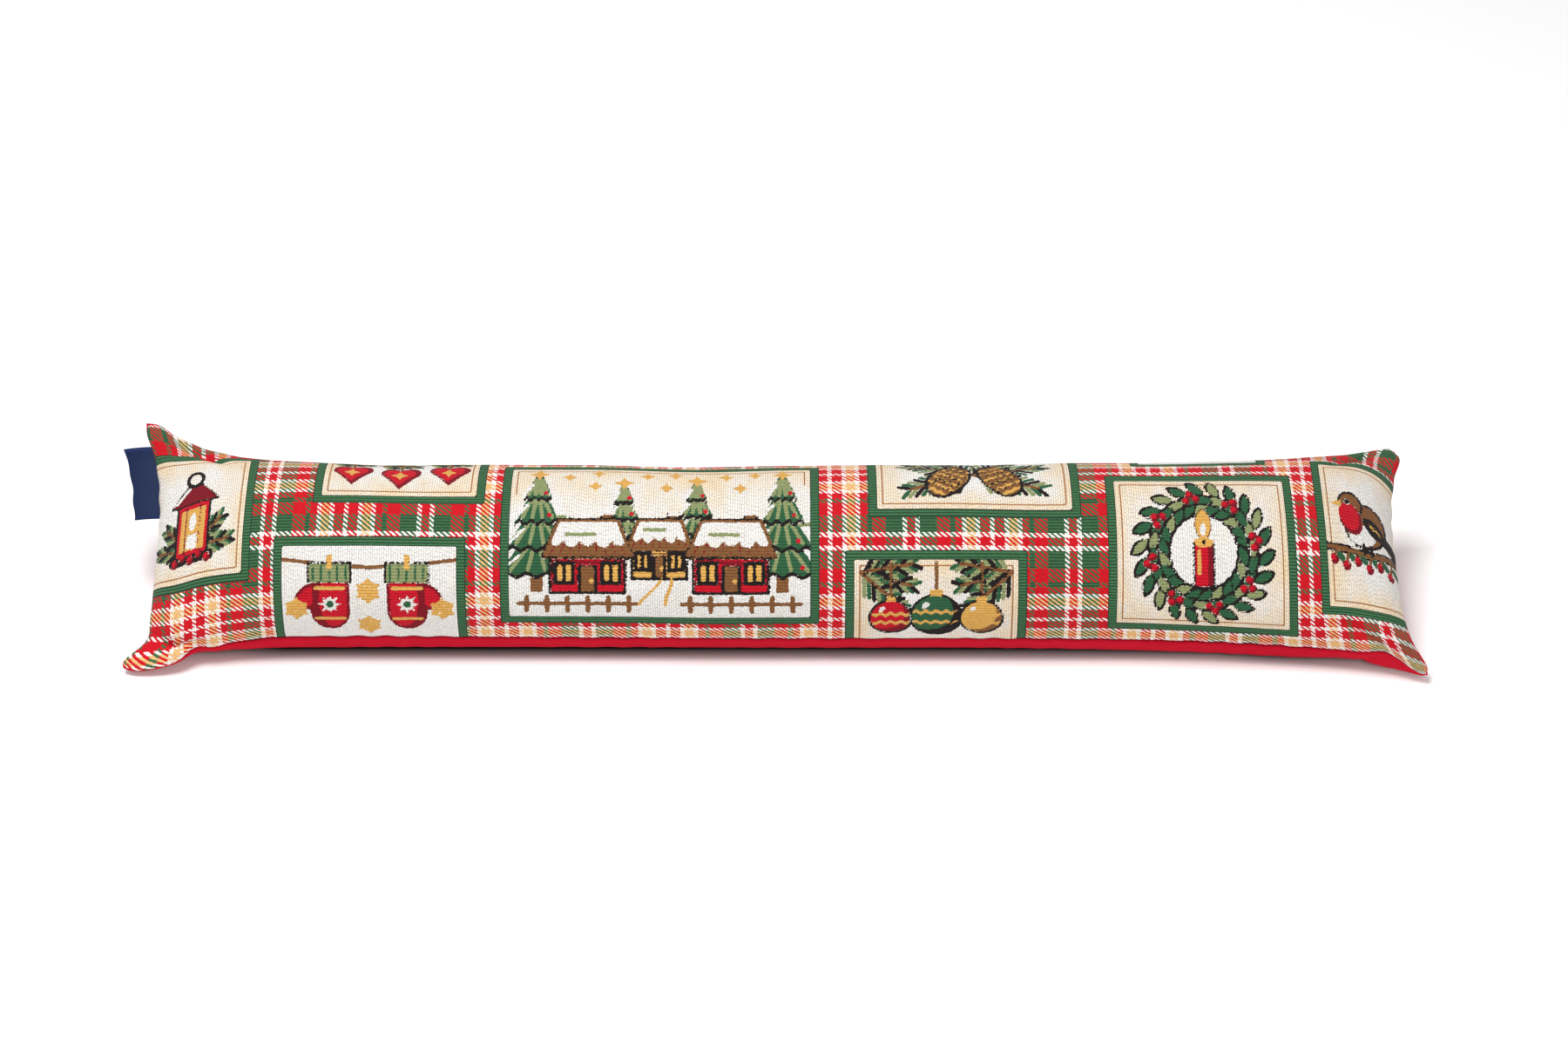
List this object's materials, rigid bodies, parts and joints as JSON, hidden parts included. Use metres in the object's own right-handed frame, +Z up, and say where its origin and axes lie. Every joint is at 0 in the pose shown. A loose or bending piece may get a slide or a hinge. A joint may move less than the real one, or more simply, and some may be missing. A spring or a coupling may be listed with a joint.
{
  "type": "draught excluder",
  "caption": "Long stuffed cushion of tapestry-woven cloth with a plain back panel, pinched corner ears and a folded side tag, laid on the floor against the gap under a door.",
  "frame": {"origin": "on the floor, under the middle of the part's box", "axes": "+X along the length, to the right as seen from the front; +Y from the front edge to the back edge; +Z up"},
  "size_m": [0.9078, 0.1874, 0.1025],
  "materials": {
    "tapestry": "jacquard tapestry in red, green, tan and cream cotton yarn",
    "back_cloth": "plain woven red cotton",
    "tag_ribbon": "navy woven satin ribbon, folded, bare"
  },
  "bodies": {
    "root": {"tapestry_cushion": "tapestry", "back_panel": "back_cloth", "side_tag": "tag_ribbon"}
  },
  "joints": []
}
